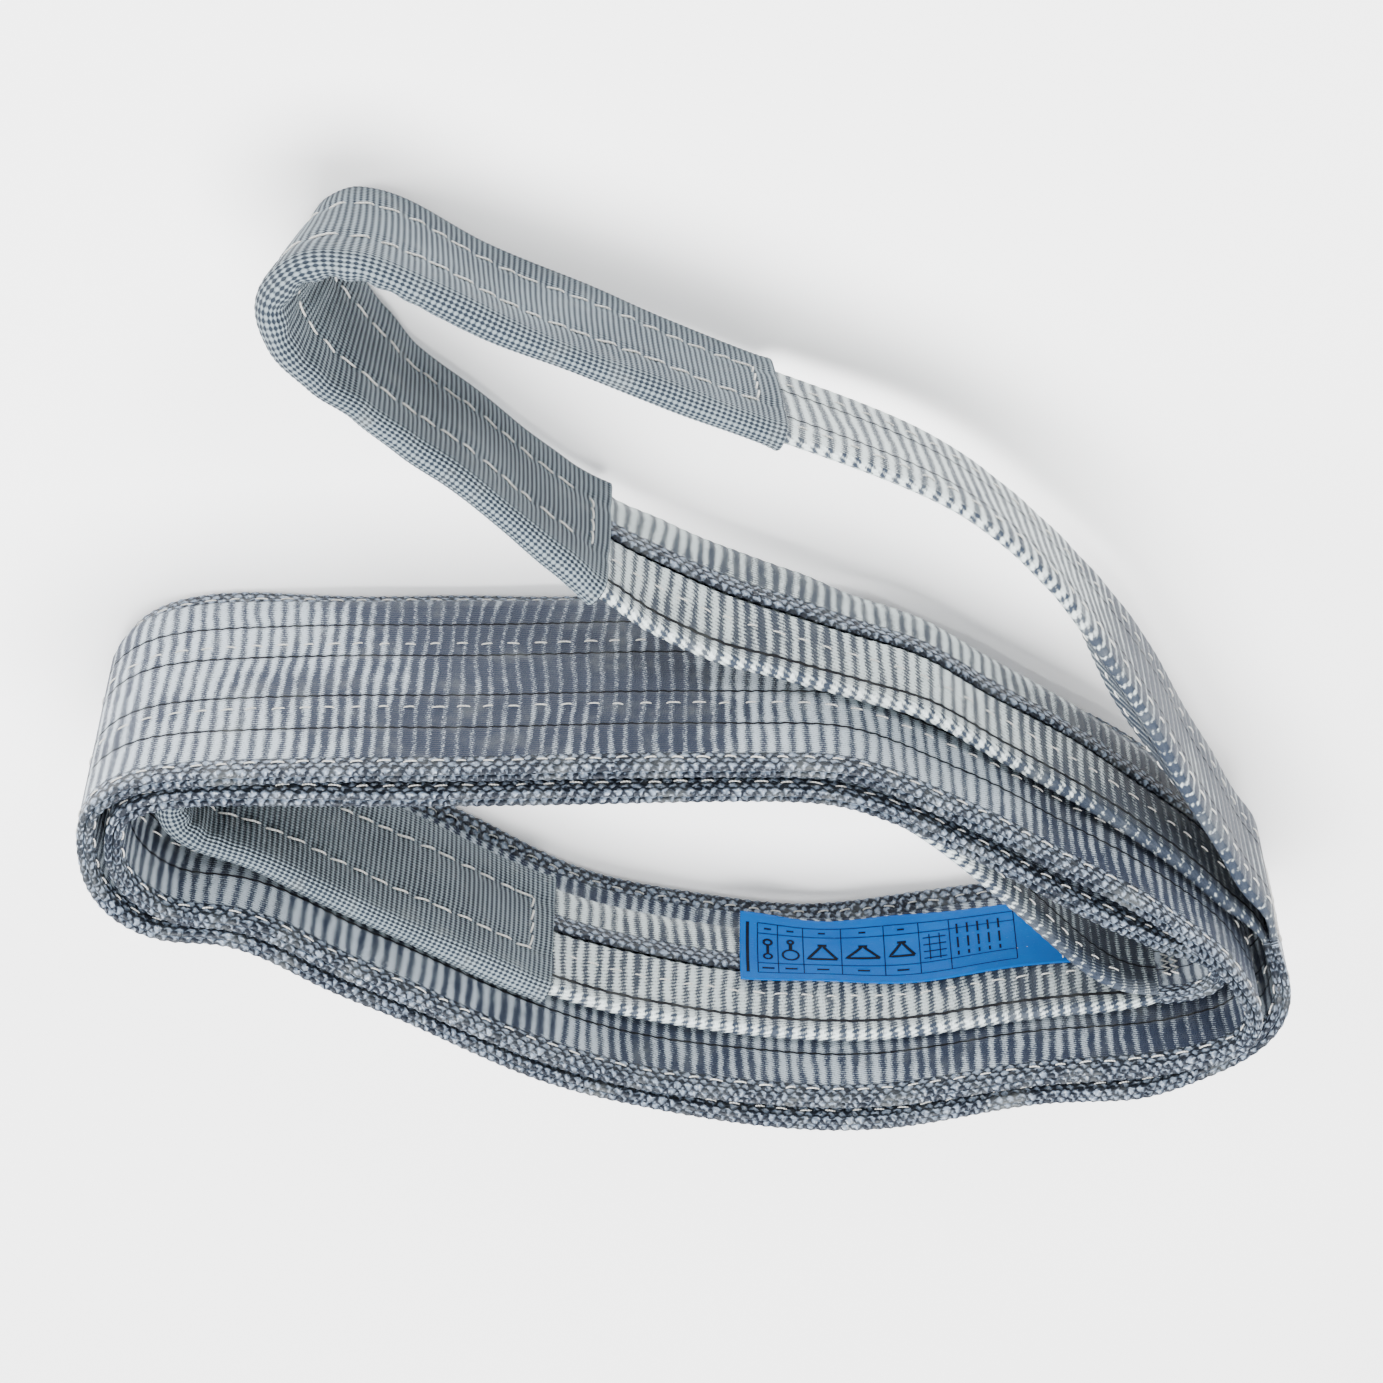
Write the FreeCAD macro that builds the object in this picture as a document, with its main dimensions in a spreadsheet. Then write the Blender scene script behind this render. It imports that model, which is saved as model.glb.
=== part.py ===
"""Duplex flat web sling, wound flat on its edges with one eye lying out to the front.

Frame: millimetres, +Z up, the webbing's lower edges stand on Z = 0, and the origin is under the
middle of the whole footprint. The long way of the wound sling is X.
"""
import FreeCAD, Part
import math
import os

from FreeCAD import Vector

doc = FreeCAD.newDocument("flat_web_sling")

# ---------------------------------------------------------------- driving dimensions
dims = doc.addObject("Spreadsheet::Sheet", "Dimensions")
DRIVING = {
    "webbing_width": 120,
    "ply_thickness": 3.0,
    "ply_gap": 0.2,
    "eye_width": 60,
    "sleeve_width": 72,
    "sleeve_wall": 2.2,
    "sleeve_ease": 0.3,
    "thread_thickness": 0.5,
    "thread_width": 1.4,
    "thread_clearance": 0.3,
    "row_inner": 20,
    "row_outer": 53,
    "sleeve_row": 16,
    "label_length": 140,
    "label_width": 40,
    "label_thickness": 0.6,
    "label_gap": 0.5,
    "label_drop": 15,
    "sleeve_reach": 180,
    "eye_droop": 23.5,
    "throat_radius": 6.7,
    "throat_x": -225.5,
    "throat_y": 109,
    "tack_height": 44,
}
for line, (alias, value) in enumerate(DRIVING.items(), start=1):
    dims.set(f"A{line}", alias)
    dims.set(f"B{line}", str(value))
    dims.setAlias(f"B{line}", alias)
doc.recompute()

# ---------------------------------------------------------------- routes seen from above
# Middle line of the doubled webbing: from the throat of the free eye, round the outer turn,
# round the inner turn, and on to the throat of the eye that lies inside.
BODY_ROUTE = [
    (-229.5, 116), (-233.5, 128), (-236.5, 141), (-233.5, 153), (-223.5, 162), (-204.5, 168),
    (-176.5, 174), (-141.5, 176), (-111.5, 182), (-81.5, 189), (-53.5, 191), (-16.5, 187),
    (23.5, 177), (58.5, 165), (91.5, 147), (121.5, 128), (148.5, 112), (171.5, 96),
    (189.5, 89), (209.5, 87), (225.5, 78), (234.5, 63), (236.5, 44), (232.5, 26),
    (220.5, 15), (198.5, 9), (168.5, 7), (133.5, 6), (93.5, 6), (53.5, 5),
    (13.5, 4), (-26.5, 4), (-55.5, 6), (-74, 13), (-92.5, 23), (-112.5, 34),
    (-135.5, 49.5), (-160.5, 65.5), (-184.5, 83.5), (-197.5, 95), (-208.5, 107), (-216.5, 120),
    (-221.5, 132), (-221, 142), (-216.5, 148.5), (-207.5, 153.5), (-194.5, 158), (-176.5, 161.5),
    (-140.5, 165), (-110.5, 171), (-81.5, 177), (-53.5, 178.5), (-18.5, 175), (21.5, 168),
    (55.5, 156), (87.5, 139), (117.5, 120), (144.5, 103.5), (167.5, 88), (186.5, 81),
    (204.5, 78), (216.5, 70), (224.5, 57), (225.5, 42), (220.5, 28), (208.5, 21),
    (190.5, 18), (164.5, 17.5), (133.5, 18), (93.5, 18), (53.5, 17), (13.5, 16),
    (-26.5, 16), (-52.5, 18.5), (-76.5, 28), (-100.5, 41.5), (-124.5, 57), (-148.5, 73.5),
    (-170.5, 88), (-184.5, 99.5), (-196.5, 109), (-205.5, 118), (-209.5, 127), (-208, 135),
    (-200.5, 141.5), (-187.5, 145),
]

# Middle line of the folded webbing of the inner eye: out along the back run, round the bearing
# point at the right-hand end, and back along the front run.
INNER_EYE_ROUTE = [
    (-180.5, 149.5), (-150.5, 153.5), (-114.5, 160), (-84.5, 166), (-54.5, 167.5), (-20.5, 164.5),
    (15.5, 157.5), (49.5, 147), (79.5, 131.5), (107.5, 114), (135.5, 96.5), (159.5, 80.5),
    (181.5, 67), (196.5, 60), (205.5, 50), (204.5, 38), (194.5, 32), (174.5, 29.5),
    (144.5, 29), (104.5, 29.5), (64.5, 28.5), (24.5, 28), (-15.5, 29), (-48.5, 36.5),
    (-80.5, 53), (-106.5, 76), (-128.5, 99), (-146.5, 119), (-161.5, 134), (-177.5, 142.5),
]

# Middle line of the folded webbing of the free eye, with its outward lean in degrees: out along
# the leg away from the coil, round the bearing point, and back along the leg beside the coil.
FREE_EYE_ROUTE = [
    (-227.5, 102, 0), (-219.5, 91, 0), (-207.5, 70, 0), (-194.5, 48, 0), (-182.5, 25, 0),
    (-170.5, 4, 1), (-158.5, -14, 3), (-144.5, -33, 6), (-129.5, -51, 9), (-112.5, -68, 11),
    (-91.5, -84, 12), (-68.5, -96, 12), (-44.5, -106, 12), (-16.5, -117, 12), (13.5, -130, 11),
    (45.5, -144, 10), (79.5, -160, 9), (105.5, -175, 8), (125.5, -182, 9), (139.5, -179, 12),
    (146.5, -169, 14), (145.5, -156, 12), (136.5, -141, 7), (123.5, -127, 1), (109.5, -112, -3),
    (92.5, -98, -4), (73.5, -80, -4), (53.5, -62, -2), (35.5, -47, 2), (15.5, -34, 7),
    (-8.5, -22, 8), (-35, -13, 5), (-63, -2.5, 1), (-87, 6, 0), (-107.5, 19, 0),
    (-131.5, 34.5, 0), (-156.5, 51, 0), (-179.5, 68.5, 0), (-198, 84.5, 0), (-210.5, 97, 0),
    (-220.5, 106, 0),
]

STEP = 12            # distance between the stations that an offset line is drawn through
EDGE_LENGTH = 60     # an offset line is cut into edges of about this length


# ---------------------------------------------------------------- helpers
def smooth(points):
    """One smooth line through the plan points of a route."""
    line = Part.BSplineCurve()
    line.interpolate([Vector(point[0], point[1], 0) for point in points])
    return line


def stations(line, begin, end):
    """Parameters at even distances along a line, from begin to end in millimetres."""
    count = max(2, math.ceil((end - begin) / STEP))
    gap = (end - begin) / count
    distances = [begin + gap * step for step in range(count + 1)]
    return [line.parameterAtDistance(distance, line.FirstParameter) for distance in distances]


def beside(line, where, offset):
    """The point that lies offset to the left of a line at a parameter."""
    along = line.tangent(where)[0]
    return line.value(where) + Vector(-along.y, along.x, 0) * offset


def ribbon_face(line, begin, end, right, left):
    """Flat face between two offsets of a line, over a stretch of it."""
    places = stations(line, begin, end)
    edges = []
    corners = []
    for offset in (right, left):
        side = Part.BSplineCurve()
        side.interpolate([beside(line, where, offset) for where in places])
        pieces = max(1, round((end - begin) / EDGE_LENGTH))
        span = (side.LastParameter - side.FirstParameter) / pieces
        breaks = [side.FirstParameter + span * piece for piece in range(pieces)] + [side.LastParameter]
        corners.append((side.StartPoint, side.EndPoint))
        for low, high in zip(breaks, breaks[1:]):
            stretch = side.copy()
            stretch.segment(low, high)
            edges.append(stretch.toShape())
    for one, other in zip(*corners):
        edges.append(Part.LineSegment(one, other).toShape())
    return Part.Face(Part.Wire(Part.__sortEdges__(edges)))


def finish(thing, label):
    thing.Label = label
    sub_parts.append(thing)
    return thing


def extruded(name, face, height, low):
    """A standing strip: a face pushed up by a named size, with its lower edge at a named height."""
    profile = doc.addObject("Part::Feature", name + "_profile")
    profile.Shape = face
    strip = doc.addObject("Part::Extrusion", name)
    strip.Base = profile
    strip.DirMode = "Custom"
    strip.Dir = Vector(0, 0, 1)
    strip.Solid = True
    strip.setExpression("LengthFwd", height)
    strip.setExpression("Placement.Base.z", low)
    return strip


def hollow(name, outside, inside):
    cut = doc.addObject("Part::Cut", name)
    cut.Base = outside
    cut.Tool = inside
    return cut


def lean_at(line, where):
    """Outward lean of the free eye at a parameter, blended between the route's own points."""
    places = [line.parameter(Vector(x, y, 0)) for x, y, lean in FREE_EYE_ROUTE]
    for index in range(len(places) - 1):
        if where <= places[index + 1]:
            share = (where - places[index]) / (places[index + 1] - places[index])
            share = min(max(share, 0), 1)
            share = share * share * (3 - 2 * share)
            return FREE_EYE_ROUTE[index][2] * (1 - share) + FREE_EYE_ROUTE[index + 1][2] * share
    return FREE_EYE_ROUTE[-1][2]


def droop_at(point):
    """How far the middle of the free eye has sunk at a plan point: nothing at the throat."""
    reach = math.hypot(point.x - dims.throat_x, point.y - dims.throat_y)
    return dims.eye_droop * min(reach / EYE_REACH, 1)


def leaning_band(line, begin, end, right, left, low, high):
    """Solid of a band that leans and droops with the free eye, low and high from its middle."""
    sections = []
    for where in stations(line, begin, end):
        lean = math.radians(lean_at(line, where))
        middle = dims.webbing_width / 2 - droop_at(line.value(where))
        corners = []
        for offset, rise in ((right, low), (left, low), (left, high), (right, high)):
            aside = offset * math.cos(lean) - rise * math.sin(lean)
            up = middle + offset * math.sin(lean) + rise * math.cos(lean)
            corners.append(beside(line, where, aside) + Vector(0, 0, up))
        sections.append(Part.makePolygon(corners + corners[:1]))
    return Part.makeLoft(sections, True, False)


def shaped(name, shape):
    piece = doc.addObject("Part::Feature", name)
    piece.Shape = shape
    return piece


sub_parts = []
EYE_REACH = 460      # plan distance from the throat to the bearing point of the free eye

ply = dims.ply_thickness
half_gap = dims.ply_gap / 2
strap = ply + half_gap                  # half thickness of doubled webbing
thread_near = strap + dims.thread_clearance
thread_far = thread_near + dims.thread_thickness

body_line = smooth(BODY_ROUTE)
body_length = body_line.length()
inner_line = smooth(INNER_EYE_ROUTE)
inner_length = inner_line.length()
free_line = smooth(FREE_EYE_ROUTE)
free_length = free_line.length()

# The body route runs clockwise seen from above, so its left side faces out of the coil.
# ---------------------------------------------------------------- webbing plies of the body
outer_face = ribbon_face(body_line, 0, body_length, half_gap, strap)
outer_ply = extruded("webbing_outer_ply", outer_face, "Dimensions.webbing_width", "0 mm")
finish(outer_ply, "webbing_outer_ply")

inner_face = ribbon_face(body_line, 0, body_length, -strap, -half_gap)
inner_ply = extruded("webbing_inner_ply", inner_face, "Dimensions.webbing_width", "0 mm")
finish(inner_ply, "webbing_inner_ply")

# ---------------------------------------------------------------- lengthwise sewing of the body
# Each row of thread shows on both sides of the doubled webbing, so a row is a pair of threads.
# A row's stations are the webbing's own, less one at each end, so that the two keep their distance.
THREAD_END = body_length / math.ceil(body_length / STEP)
ROWS = {
    "body_stitch_row_1": "-Dimensions.row_outer",
    "body_stitch_row_2": "-Dimensions.row_inner",
    "body_stitch_row_3": "Dimensions.row_inner",
    "body_stitch_row_4": "Dimensions.row_outer",
}
thread_faces = Part.makeCompound([
    ribbon_face(body_line, THREAD_END, body_length - THREAD_END, thread_near, thread_far),
    ribbon_face(body_line, THREAD_END, body_length - THREAD_END, -thread_far, -thread_near),
])
for row, height in ROWS.items():
    low = f"(Dimensions.webbing_width - Dimensions.thread_width) / 2 + {height}"
    finish(extruded(row, thread_faces, "Dimensions.thread_width", low), row)

# ---------------------------------------------------------------- eye that lies inside the coil
eye_low = "(Dimensions.webbing_width - Dimensions.eye_width) / 2"
inner_eye_face = ribbon_face(inner_line, 0, inner_length, -strap, strap)
inner_eye = extruded("inner_eye_webbing", inner_eye_face, "Dimensions.eye_width", eye_low)
finish(inner_eye, "inner_eye_webbing")

INNER_BEARING = 430                     # distance along the inner eye to its bearing point
sleeve_in = strap + dims.sleeve_ease
sleeve_out = sleeve_in + dims.sleeve_wall
begin = INNER_BEARING - dims.sleeve_reach
end = INNER_BEARING + dims.sleeve_reach
sleeve_low = "(Dimensions.webbing_width - Dimensions.sleeve_width) / 2"
bore_width = "Dimensions.eye_width + 2 * Dimensions.sleeve_ease"
bore_low = "(Dimensions.webbing_width - Dimensions.eye_width) / 2 - Dimensions.sleeve_ease"
inner_shell = extruded(
    "inner_sleeve_outside",
    ribbon_face(inner_line, begin, end, -sleeve_out, sleeve_out),
    "Dimensions.sleeve_width",
    sleeve_low,
)
inner_bore = extruded(
    "inner_sleeve_bore",
    ribbon_face(inner_line, begin - 1, end + 1, -sleeve_in, sleeve_in),
    bore_width,
    bore_low,
)
finish(hollow("inner_eye_sleeve", inner_shell, inner_bore), "inner_eye_sleeve")

# On the sleeve's outer side a row runs right round the bearing point. On the inner side it is
# hidden in the crease there, so it is in two stretches.
CREASE = 84          # half the length of the crease
sleeve_near = sleeve_out + dims.thread_clearance
sleeve_far = sleeve_near + dims.thread_thickness


def row_stretches(bearing, inner):
    """Where a sleeve's row shows, as distances along the eye."""
    first = bearing - dims.sleeve_reach + STEP
    last = bearing + dims.sleeve_reach - STEP
    return [(first, bearing - CREASE), (bearing + CREASE, last)] if inner else [(first, last)]


sleeve_rows = []
for side in (-1, 1):
    near, far = sorted((side * sleeve_near, side * sleeve_far))
    for first, last in row_stretches(INNER_BEARING, side < 0):
        face = ribbon_face(inner_line, first, last, near, far)
        for height in (-dims.sleeve_row, dims.sleeve_row):
            row = face.extrude(Vector(0, 0, dims.thread_width))
            row.translate(Vector(0, 0, (dims.webbing_width - dims.thread_width) / 2 + height))
            sleeve_rows.append(row)
finish(shaped("inner_sleeve_stitching", Part.makeCompound(sleeve_rows)), "inner_sleeve_stitching")

# ---------------------------------------------------------------- free eye, on its own body
half_eye = dims.eye_width / 2
free_band = shaped(
    "free_eye_band",
    leaning_band(free_line, 0, free_length, -strap, strap, -half_eye, half_eye),
)
throat = doc.addObject("Part::Cylinder", "throat")
throat.setExpression("Radius", "Dimensions.throat_radius")
throat.setExpression("Height", "Dimensions.eye_width")
throat.setExpression("Placement.Base.x", "Dimensions.throat_x")
throat.setExpression("Placement.Base.y", "Dimensions.throat_y")
throat.setExpression("Placement.Base.z", eye_low)
free_eye = doc.addObject("Part::Fuse", "free_eye_webbing")
free_eye.Base = free_band
free_eye.Tool = throat
finish(free_eye, "free_eye_webbing")

FREE_BEARING = 483                      # distance along the free eye to its bearing point
begin = FREE_BEARING - dims.sleeve_reach
end = FREE_BEARING + dims.sleeve_reach
half_sleeve = dims.sleeve_width / 2
half_bore = half_eye + dims.sleeve_ease
free_shell = shaped(
    "free_sleeve_outside",
    leaning_band(free_line, begin, end, -sleeve_out, sleeve_out, -half_sleeve, half_sleeve),
)
free_bore = shaped(
    "free_sleeve_bore",
    leaning_band(free_line, begin - 1, end + 1, -sleeve_in, sleeve_in, -half_bore, half_bore),
)
finish(hollow("free_eye_sleeve", free_shell, free_bore), "free_eye_sleeve")

sleeve_rows = []
half_thread = dims.thread_width / 2
for side in (-1, 1):
    near, far = sorted((side * sleeve_near, side * sleeve_far))
    for first, last in row_stretches(FREE_BEARING, side > 0):
        for height in (-dims.sleeve_row, dims.sleeve_row):
            low, high = height - half_thread, height + half_thread
            sleeve_rows.append(leaning_band(free_line, first, last, near, far, low, high))
finish(shaped("free_sleeve_stitching", Part.makeCompound(sleeve_rows)), "free_sleeve_stitching")

# ---------------------------------------------------------------- bar tacks at the two throats
# A few upright bars of thread close each throat, on the outside of the doubled webbing.
def bar_tacks(name, distances):
    bars = []
    for distance in distances:
        for near, far in ((thread_near, thread_far), (-thread_far, -thread_near)):
            face = ribbon_face(body_line, distance, distance + dims.thread_width, near, far)
            bar = face.extrude(Vector(0, 0, dims.tack_height))
            bar.translate(Vector(0, 0, (dims.webbing_width - dims.tack_height) / 2))
            bars.append(bar)
    return finish(shaped(name, Part.makeCompound(bars)), name)


bar_tacks("free_throat_tacks", (3, 6))
bar_tacks("inner_throat_tacks", (body_length - 7, body_length - 4))

# ---------------------------------------------------------------- label, on its own body
LABEL_START = 27                        # distance along the inner eye to the label's sewn end
near = -strap - dims.label_gap
label_face = ribbon_face(
    inner_line, LABEL_START, LABEL_START + dims.label_length, near - dims.label_thickness, near
)
label_low = "(Dimensions.webbing_width - Dimensions.label_width) / 2 - Dimensions.label_drop"
finish(extruded("label", label_face, "Dimensions.label_width", label_low), "label")

label_bar_face = ribbon_face(inner_line, LABEL_START - 4, LABEL_START - 1, near, -strap)
label_bar = extruded("label_stitching", label_bar_face, "Dimensions.label_width", label_low)
finish(label_bar, "label_stitching")

# ---------------------------------------------------------------- check and write
doc.recompute()
for thing in doc.Objects:
    if "Invalid" in thing.State or "Error" in thing.State:
        raise RuntimeError(f"{thing.Name} did not compute: {thing.State}")
os.makedirs("parts", exist_ok=True)
for sub_part in sub_parts:
    shape = sub_part.Shape
    if shape.isNull() or not shape.isValid():
        raise RuntimeError(f"{sub_part.Label} has no valid shape")
    shape.exportStep(f"parts/{sub_part.Label}.step")
    print(f"{sub_part.Label}: {len(shape.Solids)} solid(s), {shape.Volume / 1000:.1f} cm3")

everything = Part.makeCompound([sub_part.Shape for sub_part in sub_parts])
print("box", everything.BoundBox)
print(f"body {body_length:.0f} mm, inner eye {inner_length:.0f} mm, free eye {free_length:.0f} mm")
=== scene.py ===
"""Duplex flat web sling, wound flat on its edges with one eye lying out to the front.

Metres, +Z up, the webbing's lower edges on the floor. One section for each piece of the sling,
in the order in which a sling is made: webbing, thread, eyes, sleeves, label, and then the set.
"""
import math

import bpy
import numpy as np
from mathutils import Matrix, Vector


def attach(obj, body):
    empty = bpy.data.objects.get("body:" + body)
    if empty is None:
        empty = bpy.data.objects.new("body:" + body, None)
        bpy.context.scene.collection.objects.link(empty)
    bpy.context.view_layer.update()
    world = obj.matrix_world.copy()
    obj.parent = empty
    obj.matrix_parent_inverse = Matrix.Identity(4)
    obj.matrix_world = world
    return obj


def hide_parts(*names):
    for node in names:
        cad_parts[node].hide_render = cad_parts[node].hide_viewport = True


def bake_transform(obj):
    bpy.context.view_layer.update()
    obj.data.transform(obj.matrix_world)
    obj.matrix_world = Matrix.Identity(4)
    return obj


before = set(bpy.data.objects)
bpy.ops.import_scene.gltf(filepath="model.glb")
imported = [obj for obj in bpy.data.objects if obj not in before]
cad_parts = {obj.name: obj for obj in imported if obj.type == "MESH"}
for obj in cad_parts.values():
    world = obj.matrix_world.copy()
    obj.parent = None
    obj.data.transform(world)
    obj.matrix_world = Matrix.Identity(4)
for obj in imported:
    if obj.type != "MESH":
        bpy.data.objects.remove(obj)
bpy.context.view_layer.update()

# ================================================================ body webbing
# The body is two plies of heavy polyester webbing, 120 mm wide and 3 mm thick, woven with thick
# cross ribs, a plaited selvedge along both edges and four black index lines, one for each tonne
# that the sling lifts. The plies lie face to face and run through both turns of the coil.
MM = 0.001
WEBBING_WIDTH = 120 * MM
MIDDLE = WEBBING_WIDTH / 2
PLY = 3.0 * MM
PLY_GAP = 0.2 * MM
STRAP = PLY + PLY_GAP / 2            # from the middle of the doubled webbing to its face
RIB_PITCH = 5.4 * MM
SELVEDGE = 51 * MM                   # the plait starts this far from the webbing's middle
PLAIT_PITCH = 4.5 * MM
PLAIT_ROW = 2.9 * MM
STATION = RIB_PITCH / 4
THROAT_HALF = 33 * MM                # half height of the body where it is gathered at an eye
GATHER = 105 * MM                    # length over which the body opens out to full width
BODY_ROUTE = [
    (-229.5, 116), (-233.5, 128), (-236.5, 141), (-233.5, 153), (-223.5, 162), (-204.5, 168),
    (-176.5, 174), (-141.5, 176), (-111.5, 182), (-81.5, 189), (-53.5, 191), (-16.5, 187),
    (23.5, 177), (58.5, 165), (91.5, 147), (121.5, 128), (148.5, 112), (171.5, 96),
    (189.5, 89), (209.5, 87), (225.5, 78), (234.5, 63), (236.5, 44), (232.5, 26),
    (220.5, 15), (198.5, 9), (168.5, 7), (133.5, 6), (93.5, 6), (53.5, 5),
    (13.5, 4), (-26.5, 4), (-55.5, 6), (-74, 13), (-92.5, 23), (-112.5, 34),
    (-135.5, 49.5), (-160.5, 65.5), (-184.5, 83.5), (-197.5, 95), (-208.5, 107), (-216.5, 120),
    (-221.5, 132), (-221, 142), (-216.5, 148.5), (-207.5, 153.5), (-194.5, 158), (-176.5, 161.5),
    (-140.5, 165), (-110.5, 171), (-81.5, 177), (-53.5, 178.5), (-18.5, 175), (21.5, 168),
    (55.5, 156), (87.5, 139), (117.5, 120), (144.5, 103.5), (167.5, 88), (186.5, 81),
    (204.5, 78), (216.5, 70), (224.5, 57), (225.5, 42), (220.5, 28), (208.5, 21),
    (190.5, 18), (164.5, 17.5), (133.5, 18), (93.5, 18), (53.5, 17), (13.5, 16),
    (-26.5, 16), (-52.5, 18.5), (-76.5, 28), (-100.5, 41.5), (-124.5, 57), (-148.5, 73.5),
    (-170.5, 88), (-184.5, 99.5), (-196.5, 109), (-205.5, 118), (-209.5, 127), (-208, 135),
    (-200.5, 141.5), (-187.5, 145),
]


def eased(share):
    """0 to 1 with a soft start and a soft stop."""
    share = np.clip(share, 0, 1)
    return share * share * (3 - 2 * share)


class Route:
    """A smooth line seen from above, drawn through given points and measured in metres."""

    def __init__(self, points):
        self.points = np.array([point[:2] for point in points], float) * MM
        gaps = np.hypot(*np.diff(self.points, axis=0).T)
        knots = np.concatenate([[0], np.cumsum(gaps)])
        bends = self._bends(knots, gaps)
        dense = np.linspace(0, knots[-1], 6000)
        low = np.clip(np.searchsorted(knots, dense, side="right") - 1, 0, len(gaps) - 1)
        gap = gaps[low][:, None]
        right = ((dense - knots[low]) / gaps[low])[:, None]
        left = 1 - right
        self.line = (
            left * self.points[low] + right * self.points[low + 1]
            + ((left**3 - left) * bends[low] + (right**3 - right) * bends[low + 1]) * gap**2 / 6
        )
        steps = np.hypot(*np.diff(self.line, axis=0).T)
        self.run = np.concatenate([[0], np.cumsum(steps)])
        self.length = self.run[-1]
        self.along = np.gradient(self.line, self.run, axis=0)
        self.along /= np.linalg.norm(self.along, axis=1)[:, None]
        self.marks = np.interp(knots, dense, self.run)

    def _bends(self, knots, gaps):
        """How sharply a natural cubic bends at each of its points."""
        size = len(knots)
        weights = np.eye(size)
        pull = np.zeros((size, 2))
        for spot in range(1, size - 1):
            before, after = gaps[spot - 1], gaps[spot]
            weights[spot, spot - 1:spot + 2] = before, 2 * (before + after), after
            rise = (self.points[spot + 1] - self.points[spot]) / after
            pull[spot] = 6 * (rise - (self.points[spot] - self.points[spot - 1]) / before)
        return np.linalg.solve(weights, pull)

    def at(self, run):
        """Plan points and leftward directions at distances along the line."""
        spots = np.stack([np.interp(run, self.run, self.line[:, axis]) for axis in (0, 1)], -1)
        ahead = np.stack([np.interp(run, self.run, self.along[:, axis]) for axis in (0, 1)], -1)
        return spots, np.stack([-ahead[..., 1], ahead[..., 0]], -1)


def slow_waves(seed, count, long_range, across_range, size_range):
    """Settings of a few slow waves that pull the cross ribs out of square."""
    draw = np.random.default_rng(seed)
    return [
        (
            2 * math.pi / draw.uniform(*long_range), draw.uniform(0, 6.3),
            2 * math.pi / draw.uniform(*across_range), draw.uniform(0, 6.3),
            draw.uniform(*size_range),
        )
        for _ in range(count)
    ]


RIB_WAVES = slow_waves(11, 10, (0.06, 0.30), (0.06, 0.20), (0.15 * MM, 0.65 * MM))


def weft(run, across, shift=0.0):
    """Where a point of the cloth lies along the length, with the ribs pulled out of square."""
    place = run + shift
    for per_run, start, per_across, tilt, size in RIB_WAVES:
        place = place + size * np.sin(place * per_run + start) * np.sin(across * per_across + tilt)
    return place


def cloth_relief(place, across):
    """Height of ribs and plaited selvedge over the cloth's face."""
    reach = np.abs(across)
    ribs = 0.2 * MM * np.cos(2 * math.pi * place / RIB_PITCH)
    rows = (reach - SELVEDGE) / PLAIT_ROW
    bead = np.cos(2 * math.pi * (place / PLAIT_PITCH + 0.5 * np.floor(rows)))
    plait = 0.22 * MM * bead * np.abs(np.sin(math.pi * rows))
    edge = eased((reach - SELVEDGE) / (1.5 * MM))
    return ribs * (1 - edge) + plait * edge


# The side that lies against the other ply is never seen, so it is cut into few strips.
HIDDEN_STATIONS = np.array([58.8, 54, 40, 14, -14, -40, -54, -58.8]) * MM


def face_stations():
    """Where the cloth's face is cut lengthwise, from its middle out to its edge."""
    half = np.array([
        0, 6, 12, 13, 14, 20, 26, 32, 33, 34, 39, 45, 50, 52, 54, 56, 57.6, 58.8,
    ]) * MM
    return np.concatenate([-half[:0:-1], half])


def cloth_section(front, back):
    """Closed outline of one ply: place across, and side with edge rounding from -1 to 1."""
    across = np.concatenate([[-MIDDLE], front, [MIDDLE], back])
    edge = np.clip((np.abs(across) - MIDDLE + PLY) / PLY, 0, 1)
    side = np.sqrt(np.clip(1 - edge**2, 0, 1))
    side[len(front) + 2:] *= -1
    return across, side


def piece_of(name, points, faces, weave, smooth=True):
    """A mesh object; weave holds each point's place in its cloth or thread, in metres."""
    mesh = bpy.data.meshes.new(name)
    mesh.from_pydata(points.tolist(), [], faces)
    corners = np.zeros(len(mesh.loops), np.int32)
    mesh.loops.foreach_get("vertex_index", corners)
    layer = mesh.uv_layers.new(name="cloth")
    layer.data.foreach_set("uv", weave[corners].astype(np.float32).ravel())
    if smooth:
        mesh.polygons.foreach_set("use_smooth", np.ones(len(mesh.polygons), bool))
    mesh.update()
    piece = bpy.data.objects.new(name, mesh)
    bpy.context.collection.objects.link(piece)
    return piece


def skin(name, rings, weave, capped=True):
    """A tube of cloth through closed rings of points."""
    count, size = rings.shape[:2]
    first = np.arange(count - 1)[:, None] * size
    near = np.arange(size)[None, :]
    far = (near + 1) % size
    quads = np.stack([first + near, first + far, first + size + far, first + size + near], -1)
    faces = quads.reshape(-1, 4).tolist()
    if capped:
        faces.append(list(range(size))[::-1])
        faces.append([(count - 1) * size + spot for spot in range(size)])
    return piece_of(name, rings.reshape(-1, 3), faces, weave.reshape(-1, 2))


body = Route(BODY_ROUTE)


def body_half_height(run):
    """Half the body's height: gathered at both throats, full width between them."""
    share = np.minimum(eased(run / GATHER), eased((body.length - run) / GATHER))
    return THROAT_HALF + (MIDDLE - THROAT_HALF) * share


def on_body(run, across, offset):
    """Point of the body at a distance along it, a place across it and an offset outward."""
    spots, left = body.at(run)
    height = MIDDLE + across / MIDDLE * body_half_height(run)
    curl = 3.6 + 1.8 * np.sin(run / (38 * MM) + 0.8) + 0.9 * np.sin(run / (15 * MM))
    curl = curl * MM * eased((-across / MM - 45) / 13)
    plan = spots + left * (np.asarray(offset) - curl)[..., None]
    return np.concatenate([plan, height[..., None] + 0 * plan[..., :1]], -1)


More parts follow.
